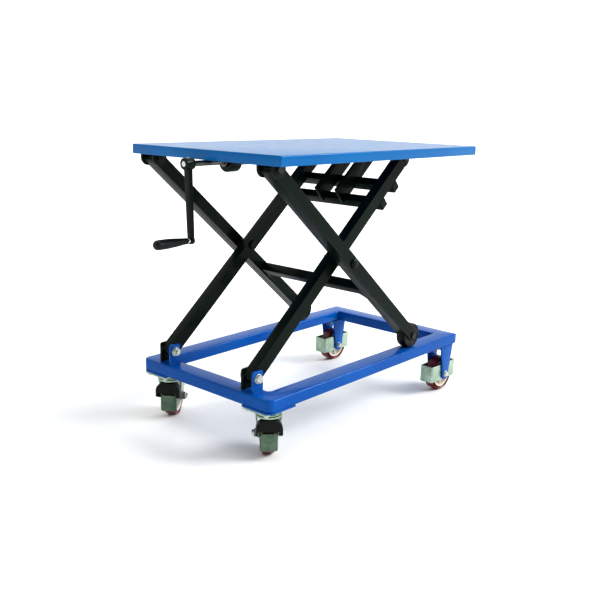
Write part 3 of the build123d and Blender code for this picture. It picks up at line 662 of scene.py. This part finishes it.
def scissor():
    """Legs, cross members and the welds that hold them together."""
    for name, side in SIDES:
        refine("inner_leg_" + name, SCISSOR_BLACK, 1.6, 3, 50.0, 2.4)
        refine("outer_leg_" + name, SCISSOR_BLACK, 1.6, 3, 50.0, 2.4)
    for node in ("ladder_bar_lower", "ladder_bar_upper", "cross_tube"):
        refine(node, SCISSOR_BLACK, 1.1)
    refine("lever_plates", SCISSOR_BLACK, 0.9)
    refine("cross_gussets", SCISSOR_BLACK, 0.7)
    along_leg = Vector((math.cos(LIFT_ANGLE), 0, math.sin(LIFT_ANGLE)))
    for name, side in SIDES:
        for i, station in enumerate(BAR_STATIONS):
            end = on_leg(LIFT_ANGLE, station, BAR_ABOVE, side * BAR_END)
            up = along_leg.cross(Vector((0, -side, 0)))
            cap = slab("cap", end, along_leg, up, BAR_CAP_SIZE, BAR_CAP_SIZE, BAR_CAP_DEPTH, 2.0, 0.8)
            piece(f"bar_cap_{i}_{name}", cap, SCISSOR_BLACK, "inner_legs")
            for edge in (-1, 1):
                along = station + edge * (BAR_SIZE / 2 + 0.3)
                line = [on_leg(LIFT_ANGLE, along, BAR_WELD_ABOVE, side * y) for y in BAR_WELD_Y]
                bead(
                    f"bar_weld_{i}_{edge + 1}_{name}", line, 1.9, SCISSOR_BLACK, "inner_legs",
                    seed=i + 3,
                )
                for face in LEVER_FACES:
                    line = [
                        on_leg(LIFT_ANGLE, station + edge * 11.5, BAR_ABOVE + 12.2, side * face),
                        on_leg(LIFT_ANGLE, station + edge * 12.2, BAR_ABOVE + 4.0, side * face),
                    ]
                    bead(
                        f"lever_weld_{i}_{edge + 1}_{int(face)}_{name}", line, 1.5, SCISSOR_BLACK,
                        "inner_legs", seed=i + 5,
                    )
        half = CROSS_SIZE / 2 + 0.2
        ring = [
            on_leg(-LIFT_ANGLE, CROSS_STATION + u, v, side * CROSS_END)
            for u, v in ((-half, -half), (half, -half), (half, half), (-half, half))
        ]
        bead("cross_weld_" + name, ring, 2.0, SCISSOR_BLACK, "outer_legs", True, 11)


PIN_FACE = 217.0


def pins():
    """Centre pins with domed heads, spacers and collars, and the rollers' axles."""
    parts = []
    for _, side in SIDES:
        out = Vector((0, side, 0))
        face = CENTRE + out * PIN_FACE * MM
        head = [(0, 0), (0, 12.0), (2.2, 12.4), (3.6, 11.6), (5.0, 9.4), (6.0, 6.0), (6.4, 0)]
        parts.append(lathe_mesh("p", face, out, head, 56))
        shaft = [(0, 0), (0, 8.0), (-89, 8.0), (-90, 7.0), (-90, 0)]
        parts.append(lathe_mesh("p", face, out, shaft, 40))
        spacer = [(-37.2, 8.0), (-37.2, 12.6), (-37.8, 13.0), (-54.8, 13.0), (-55.4, 12.6), (-55.4, 8.0)]
        parts.append(lathe_mesh("p", face, out, spacer, 56))
        collar = [(-84.6, 8.0), (-84.6, 11.4), (-85.2, 12.0), (-89.2, 12.0), (-89.8, 11.4), (-89.8, 8.0)]
        parts.append(lathe_mesh("p", face, out, collar, 56))
    mesh = merge("centre_pins_fine", parts)
    obj = piece("centre_pins_fine", mesh, FITTING_BLACK, "outer_legs")
    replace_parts(obj, "centre_pins")
    refine("top_roller_pins", BOLT_BLACK, 0.8)
    refine("base_roller_pins", BOLT_BLACK, 0.8)


ROLLER_KINDS = (  # name, height of the axle, distance from the middle, bore radius
    ("top", NUT.z, 147.0, 5.05),
    ("base", PIVOT.z, 198.5, 6.05),
)


def rollers():
    """Rollers with rounded rims, a turned recess and a bearing seal on each face."""
    for name, side in SIDES:
        for kind, z, y, bore in ROLLER_KINDS:
            node = f"{kind}_roller_{name}"
            low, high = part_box(node)
            radius = (high.z - low.z) / 2 / MM
            half = (high.y - low.y) / 2 / MM
            centre = Vector((NUT.x, side * y * MM, z))
            profile = [
                (-half, bore), (-half, bore + 4), (-half + 1.2, bore + 4.6), (-half + 1.2, radius - 5.5),
                (-half, radius - 4.8), (-half, radius - 2.2), (-half + 0.7, radius - 0.7),
                (-half + 2.2, radius), (half - 2.2, radius),
                (half - 0.7, radius - 0.7), (half, radius - 2.2), (half, radius - 4.8),
                (half - 1.2, radius - 5.5), (half - 1.2, bore + 4.6), (half, bore + 4), (half, bore),
            ]
            obj = lathe(node + "_fine", centre, Vector((0, 1, 0)), profile, NUT_IRON, node, 72)
            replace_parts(obj, node)


# ================= table =================
TABLE_LUG_Y = {"inner": 176.5, "outer": 220.5}
TABLE_LUG_FOOT = (40.0, 6.0)
TABLE_HEAD_FACE = 223.5
TABLE_NUT_FACE = 173.5
HOUSING_BOLT_X = (-316.0, -294.0)
HOUSING_BOLT_Y = (-33.0, 33.0)


def table():
    """Folded sheet tray with a rolled edge, its lugs, tracks and screw bearings."""
    low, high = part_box("table_tray")
    length = (high.x - low.x) / MM
    width = (high.y - low.y) / MM
    sheet = 2.0
    fold = 3.0
    bottom = low.z / MM
    top = high.z / MM
    rows = [(bottom, 0.4, 2.6), (bottom + 0.4, 0.0, fold)]
    for i in range(7):
        turn = math.radians(15 * i)
        inset = fold * (1 - math.cos(turn))
        rows.append((top - fold + fold * math.sin(turn), inset, fold - inset + 0.05))
    inside = [(bottom, sheet - 0.4, 1.4), (bottom + 0.4, sheet, 1.0)]
    for i in range(4):
        turn = math.radians(30 * i)
        inset = sheet + 1.0 - math.cos(turn)
        inside.append((top - sheet - 1.0 + math.sin(turn), inset, 1.05 - (1 - math.cos(turn))))
    loops = list(reversed(inside)) + rows
    verts = []
    for z, inset, radius in loops:
        verts += [at(u, v, z) for u, v in rounded_rect(length - 2 * inset, width - 2 * inset, radius, 5)]
    mesh = mesh_from("table_tray_fine", verts, tube_faces(len(loops), len(verts) // len(loops)))
    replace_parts(piece("table_tray_fine", mesh, TABLE_BLUE, "table"), "table_tray")

    under = top - sheet
    for name, side in SIDES:
        # The table lugs and their welds are drawn black: painted shade, standing in for blue lugs under the
        # table's shadow.
        refine("table_lugs_" + name, FITTING_BLACK, 0.8)
        for place, y in TABLE_LUG_Y.items():
            box_seam(
                f"table_lug_weld_{place}_{name}", TABLE_PIVOT.x / MM, side * y, under - 0.4,
                *TABLE_LUG_FOOT, 1.8, FITTING_BLACK, "table", "black_steel", 9,
            )
    refine("roller_tracks", FITTING_BLACK, 0.6)
    refine("screw_housing", FITTING_BLACK, 1.1)
    refine("screw_end_bearing", FITTING_BLACK, 0.9)
    bolts = []
    for name, side in SIDES:
        out = Vector((0, side, 0))
        bolts.append(hexagon("h", TABLE_PIVOT + out * TABLE_HEAD_FACE * MM, out, BOLT_FLATS, 6.5))
        bolts.append(hexagon("h", TABLE_PIVOT + out * TABLE_NUT_FACE * MM, -out, BOLT_FLATS, 9.0))
        shaft = [(0, 0), (0, BOLT_RADIUS), (59.5, BOLT_RADIUS), (60.3, 5.2), (60.3, 0)]
        bolts.append(lathe_mesh("h", TABLE_PIVOT + out * 224 * MM, -out, shaft, 32))
    mesh = merge("table_pivot_bolts_fine", bolts)
    obj = piece("table_pivot_bolts_fine", mesh, BOLT_BLACK, "table")
    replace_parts(obj, "table_pivot_bolts")
    heads = []
    for x in HOUSING_BOLT_X:
        for y in HOUSING_BOLT_Y:
            heads.append(hexagon("h", at(x, y, under - 5), -UP, 10.0, 6.0, 1.2))
    piece("housing_bolts", merge("housing_bolts", heads), ZINC_BOLT, "table")


# ================= screw and crank =================
def thread_mesh(name, x0, x1, crest, root, pitch, seg=28):
    """Trapezoidal screw thread along X, as one helical skin."""
    profile = ((0.0, root), (0.30, root), (0.45, crest), (0.85, crest), (1.0, root))
    verts = []
    faces = []
    turns = int((x1 - x0) / pitch) - 1
    total = turns * seg
    for i in range(total + 1):
        turn = 2 * math.pi * i / seg
        for part, radius in profile:
            x = x0 + pitch * (i / seg + part)
            spoke = Vector((0, math.cos(turn), math.sin(turn)))
            verts.append(Vector((x * MM, 0, NUT.z)) + spoke * radius * MM)
    count = len(profile)
    for i in range(total):
        for k in range(count - 1):
            a = i * count + k
            faces.append((a, a + 1, a + 1 + count, a + count))
    return mesh_from(name, verts, faces)


THREAD_SPAN = (-279.0, 371.5)
THREAD_CREST = 9.0
THREAD_ROOT = 7.3
THREAD_PITCH = 4.0


def screw():
    """Plain shaft with its thrust collars, the threaded length and the nut that runs on it."""
    low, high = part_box("lead_screw")
    x0 = low.x / MM
    x1 = high.x / MM
    start = Vector((0, 0, NUT.z))
    shaft = [
        (x0, 0), (x0, 5.9), (x0 + 0.6, 6.5), (-329.0, 6.5), (-329.0, 10.9), (-328.4, 11.5), (-321.6, 11.5),
        (-321.0, 10.9), (-321.0, 6.5), (-289.0, 6.5), (-289.0, 10.9), (-288.4, 11.5), (-280.6, 11.5),
        (-280.0, 10.9), (-280.0, 7.4), (372.0, 7.4), (372.0, 6.0), (x1 - 0.8, 6.0), (x1, 5.2), (x1, 0),
    ]
    plain = lathe_mesh("s", start, Vector((1, 0, 0)), shaft, 40)
    helix = thread_mesh("t", *THREAD_SPAN, THREAD_CREST, THREAD_ROOT, THREAD_PITCH)
    mesh = merge("lead_screw_fine", [plain, helix])
    obj = piece("lead_screw_fine", mesh, SCREW_STEEL, "screw", 38.0)
    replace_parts(obj, "lead_screw")
    refine("screw_nut", NUT_IRON, 1.0)
    ring = [(0, 10.3), (0, 12.6), (0.5, 13.0), (1.6, 13.0), (2.1, 12.6), (2.1, 10.3)]
    for name, side in SIDES:
        face = NUT + Vector((0, side * 39.2, 0)) * MM
        lathe("trunnion_washer_" + name, face, Vector((0, side, 0)), ring, STEEL_Y, "inner_legs", 40)


def crank():
    """Cranked arm, its set screw and end ring, the ferrule and the turning grip."""
    refine("crank_arm", FITTING_BLACK, 1.3)
    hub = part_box("crank_arm")
    hub_x = (hub[0].x + hub[1].x) / 2
    screw_top = Vector((hub_x, 0, NUT.z + 12.6 * MM))
    head = [(0, 0), (0, 3.2), (1.2, 3.2), (1.6, 2.8), (1.6, 1.6), (0.6, 1.5), (0.6, 0)]
    lathe("crank_set_screw", screw_top, UP, head, ZINC_BOLT, "screw", 24)
    cap = [(0, 0), (0, 6.4), (0.8, 6.4), (1.2, 5.9), (1.2, 0)]
    end = Vector((hub[0].x, 0, NUT.z))
    lathe("crank_shaft_cap", end, Vector((-1, 0, 0)), cap, ZINC_BOLT, "screw", 32)

    low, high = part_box("crank_grip")
    length = (high.x - low.x) / MM
    centre = Vector((high.x, (low.y + high.y) / 2, (low.z + high.z) / 2))
    profile = [(0.0, 4.6), (0.0, 6.2), (0.8, 6.9), (3.0, 7.2), (4.0, 6.7), (5.0, 7.3)]
    for i in range(13):
        t = i / 12
        swell = math.sin(math.pi / 2 * min(1.0, t * 1.25)) ** 1.2
        profile.append((7.0 + t * (length - 17.0), 7.4 + 4.0 * swell))
    for i in range(1, 9):
        turn = math.radians(90 * i / 8)
        profile.append((length - 10.0 + 10.0 * math.sin(turn), 5.4 + 6.0 * math.cos(turn)))
    profile += [(length, 3.0), (length - 0.9, 2.6), (length - 0.9, 0.0)]
    profile += [(length - 6.0, 0.0), (length - 6.0, 4.6)]
    obj = lathe(
        "crank_grip_fine", centre, Vector((-1, 0, 0)), profile, GRIP_BLACK, "grip", 56, 40.0
    )
    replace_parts(obj, "crank_grip")
    refine("grip_pin", CHROME, 0.8)


# ================= casters =================
TYRE_WIDTH = 28.0
TREAD_BORE = 41.0
WHEEL_RIBS = 8
RIB_START = 24.4
RIB_LENGTH = 23.0
RIB_DEPTH = 18.0


def wheel(label, centre, axis, body):
    """Tyre with rounded shoulders on a dished core, with ribs and bearing seals."""
    half = TYRE_WIDTH / 2
    tyre = [(-half + 0.8, TREAD_BORE)]
    for i in range(9):
        turn = math.radians(90 * i / 8)
        along = -half + 6.0 * (1 - math.cos(math.pi / 2 - turn))
        tyre.append((along, 44.0 + 5.4 * math.sin(turn)))
    tyre += [(-4.0, 49.9), (0.0, 50.0), (4.0, 49.9)]
    for along, radius in list(reversed(tyre[1:10])):
        tyre.append((-along, radius))
    tyre.append((half - 0.8, TREAD_BORE))
    obj = lathe(label + "_tyre_fine", centre, axis, tyre, TYRE_RED, body, 96, 40.0)
    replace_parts(obj, label.replace("wheel", "tyre"))

    core = [
        (-17.0, 4.2), (-17.0, 9.6), (-16.4, 10.4), (-16.4, 12.2), (-15.8, 13.0), (-6.5, 13.8), (-4.6, 16.0),
        (-4.2, 20.0), (-4.2, 32.0), (-5.0, 34.5), (-11.6, 35.8), (-12.9, 36.4), (-13.2, 37.4), (-13.2, 40.9),
        (13.2, 40.9), (13.2, 37.4), (12.9, 36.4), (11.6, 35.8), (5.0, 34.5), (4.2, 32.0), (4.2, 20.0),
        (4.6, 16.0), (6.5, 13.8), (15.8, 13.0), (16.4, 12.2), (16.4, 10.4), (17.0, 9.6), (17.0, 4.2),
    ]
    meshes = [lathe_mesh("c", centre, axis, core, 96)]
    side, up = basis(axis)
    for i in range(WHEEL_RIBS):
        turn = 2 * math.pi * i / WHEEL_RIBS
        spoke = side * math.cos(turn) + up * math.sin(turn)
        tangent = axis.cross(spoke).normalized()
        origin = centre + spoke * RIB_START * MM - axis * RIB_DEPTH / 2 * MM
        meshes.append(slab("r", origin, spoke, tangent, RIB_LENGTH, 2.2, RIB_DEPTH, 0.8, 0.5))
    core_mesh = merge(label + "_core_fine", meshes)
    obj = piece(label + "_core_fine", core_mesh, CORE_CREAM, body, 38.0)
    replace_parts(obj, label.replace("wheel", "core"))
    seal = [(-16.7, 4.3), (-16.7, 9.3), (-17.2, 9.0), (-17.2, 4.3)]
    seals = [lathe_mesh("q", centre, axis, seal, 48), lathe_mesh("q", centre, -axis, seal, 48)]
    piece(label + "_seals", merge(label + "_seals", seals), SEAL_BLACK, body)


AXLE_RADIUS = 4
AXLE_FLATS = 13.0
RIGID_FORK_FACE = 25.5
SWIVEL_FORK_FACE = 32.0
PLATE_BOLT_X = (-41.0, 41.0)
PLATE_BOLT_Y = (-31.0, 31.0)
RACE_LIP_Z = 0.1126
PEDAL_RIB_AHEAD = 45.0
PEDAL_RIB_STEP = 4.5
PEDAL_RIB_ABOVE = 53.4


def rigid_casters():
    """Fixed casters: painted forks, zinc guards, wheels and bolts."""
    bolts = []
    for name, side in SIDES:
        centre = Vector(JOINTS["rigid_wheel_" + name]["pos_m"])
        wheel("rigid_wheel_" + name, centre, Vector((0, 1, 0)), "rigid_wheel_" + name)
        refine("rigid_fork_" + name, FRAME_BLUE, 1.1)
        refine("rigid_guard_" + name, ZINC, 0.8)
        out = Vector((0, side, 0))
        bolts.append(hexagon("h", centre + out * RIGID_FORK_FACE * MM, out, AXLE_FLATS, 6.0, 1.2))
        bolts.append(hexagon("h", centre - out * RIGID_FORK_FACE * MM, -out, AXLE_FLATS, 7.0, 1.2))
        shaft = [(0, 0), (0, AXLE_RADIUS), (58.5, AXLE_RADIUS), (59.2, 3.4), (59.2, 0)]
        bolts.append(lathe_mesh("h", centre + out * 26 * MM, -out, shaft, 28))
        plate = Vector((centre.x, centre.y, BASE_UNDER - 4 * MM))
        bolts.append(hexagon("h", plate, -UP, 19.0, 11.0, 2.0))
        box_seam(
            "rigid_fork_weld_" + name, centre.x / MM, centre.y / MM, BASE_UNDER / MM - 0.3, 60.0, 50.0,
            1.5, FRAME_BLUE, "base", "frame_blue", 13,
        )
    obj = piece("rigid_axles_fine", merge("rigid_axles_fine", bolts), ZINC_BOLT, "base")
    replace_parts(obj, "rigid_axles")


def swivel_casters():
    """Swivel casters: zinc head and fork, toe guard, brake pedal and wheel."""
    for name, _ in SIDES:
        body = "swivel_" + name
        pivot = Vector(JOINTS[body]["pos_m"])
        wheel_joint = JOINTS["swivel_wheel_" + name]
        axle = Vector(wheel_joint["pos_m"])
        across = Vector(wheel_joint["axis"]).normalized()
        ahead = across.cross(UP).normalized()
        wheel("swivel_wheel_" + name, axle, across, "swivel_wheel_" + name)
        refine("swivel_race_" + name, ZINC, 0.7)
        refine("swivel_fork_" + name, ZINC, 0.9)
        # The toe guard gets the darker zinc copy, which is painted shade.
        refine("toe_guard_" + name, TOE_ZINC_PAINTED_SHADE, 0.8)
        refine("brake_pedal_" + name, PEDAL_BLACK, 1.0)
        groove = [(0, 20), (0, 29.3), (1.0, 30.2), (2.4, 30.2), (3.4, 29.3), (3.4, 20)]
        lathe(
            "race_lip_" + name, Vector((pivot.x, pivot.y, RACE_LIP_Z)), UP, groove, ZINC, "base", 72
        )
        heads = []
        for dx in PLATE_BOLT_X:
            for dy in PLATE_BOLT_Y:
                spot = Vector((pivot.x + dx * MM, pivot.y + dy * MM, BASE_UNDER - 9 * MM))
                heads.append(hexagon("h", spot, -UP, 11.0, 5.5, 1.2))
        piece("plate_bolts_" + name, merge("plate_bolts_" + name, heads), ZINC_BOLT, "base")
        bolts = []
        reach = SWIVEL_FORK_FACE
        for direction in (across, -across):
            bolts.append(hexagon("h", axle + direction * reach * MM, direction, AXLE_FLATS, 6.0, 1.2))
        shaft = [(-reach, 0), (-reach, AXLE_RADIUS), (reach, AXLE_RADIUS), (reach, 0)]
        bolts.append(lathe_mesh("h", axle, across, shaft, 28))
        label = "swivel_axle_" + name
        obj = piece(label + "_fine", merge(label + "_fine", bolts), ZINC_BOLT, body)
        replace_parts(obj, label)
        ribs = []
        for i in range(3):
            spot = axle + ahead * (PEDAL_RIB_AHEAD + PEDAL_RIB_STEP * i) * MM + UP * PEDAL_RIB_ABOVE * MM
            ribs.append(slab("r", spot, across, ahead, 17.0, 1.6, 1.4, 0.6, 0.35))
        label = "pedal_ribs_" + name
        piece(label, merge(label, ribs), PEDAL_BLACK, "pedal_" + name)


# ================= stage =================
FLOOR_REACH = 400.0
FLOOR_WHITE = 0.93
SKY_TOWARD = (0.70, 0.62, 0.36)  # where the sky is brightest
SKY_SPAN = (-0.55, 0.72)
SKY_LEVELS = (0.26, 1.02)
SUNS = (  # name, direction it shines from, strength, softness in degrees
    ("key", (0.62, -0.62, 0.55), 2.7, 30.0),
    ("top", (0.15, 0.10, 1.0), 0.6, 60.0),
)


def stage():
    """Pale floor, a sky that shades from pale grey to white, and two soft suns."""
    scene = bpy.context.scene
    mesh = bpy.data.meshes.new("floor")
    corners = [(x * FLOOR_REACH, y * FLOOR_REACH, 0) for x, y in ((-1, -1), (1, -1), (1, 1), (-1, 1))]
    mesh.from_pydata(corners, [], [(0, 1, 2, 3)])
    floor = bpy.data.objects.new("floor", mesh)
    scene.collection.objects.link(floor)
    white = Nodes("floor_white")
    white.set(Base_Color=(FLOOR_WHITE, FLOOR_WHITE, FLOOR_WHITE, 1.0), Roughness=0.9)
    mesh.materials.append(white.mat)

    world = bpy.data.worlds.new("studio")
    world.use_nodes = True
    tree = world.node_tree
    coords = tree.nodes.new("ShaderNodeTexCoord")
    toward = tree.nodes.new("ShaderNodeVectorMath")
    toward.operation = "DOT_PRODUCT"
    toward.inputs[1].default_value = SKY_TOWARD
    tree.links.new(coords.outputs["Generated"], toward.inputs[0])
    level = tree.nodes.new("ShaderNodeMapRange")
    level.interpolation_type = "SMOOTHSTEP"
    level.inputs["From Min"].default_value, level.inputs["From Max"].default_value = SKY_SPAN
    level.inputs["To Min"].default_value, level.inputs["To Max"].default_value = SKY_LEVELS
    tree.links.new(toward.outputs["Value"], level.inputs["Value"])
    tree.links.new(level.outputs["Result"], tree.nodes["Background"].inputs["Strength"])
    tree.nodes["Background"].inputs["Color"].default_value = (0.99, 1.0, 0.99, 1.0)
    scene.world = world
    scene.view_settings.view_transform = "Standard"
    scene.view_settings.look = "Medium High Contrast"

    for name, place, power, softness in SUNS:
        data = bpy.data.lights.new(name, "SUN")
        data.energy = power
        data.angle = math.radians(softness)
        light = bpy.data.objects.new(name, data)
        light.location = place
        light.rotation_euler = (-Vector(place)).to_track_quat("-Z", "Y").to_euler()
        scene.collection.objects.link(light)


CAMERA_PLACE = (-1.64094, -1.40009, 0.82191)
CAMERA_YAW = 48.744
CAMERA_PITCH = 13.798
CAMERA_ROLL = 1.363
LENS = 48.5
SENSOR = 36.0
FAR_CLIP = 2000.0


def camera():
    """Camera at the photographed angle: 48.5 mm lens, a little above the table's top."""
    yaw = math.radians(CAMERA_YAW)
    pitch = math.radians(CAMERA_PITCH)
    roll = math.radians(CAMERA_ROLL)
    view = Vector((math.sin(yaw) * math.cos(pitch), math.cos(yaw) * math.cos(pitch), -math.sin(pitch)))
    right = Vector((math.cos(yaw), -math.sin(yaw), 0))
    up = right.cross(view)
    turned_right = right * math.cos(roll) + up * math.sin(roll)
    turned_up = up * math.cos(roll) - right * math.sin(roll)
    data = bpy.data.cameras.new("camera")
    data.sensor_width = SENSOR
    data.lens = LENS
    data.clip_end = FAR_CLIP
    cam = bpy.data.objects.new("camera", data)
    rotation = Matrix((turned_right, turned_up, -view)).transposed().to_4x4()
    cam.matrix_world = Matrix.Translation(CAMERA_PLACE) @ rotation
    bpy.context.scene.collection.objects.link(cam)
    bpy.context.scene.camera = cam


frame_tubes()
base_fittings()
scissor()
pins()
rollers()
table()
screw()
crank()
rigid_casters()
swivel_casters()
stage()
camera()
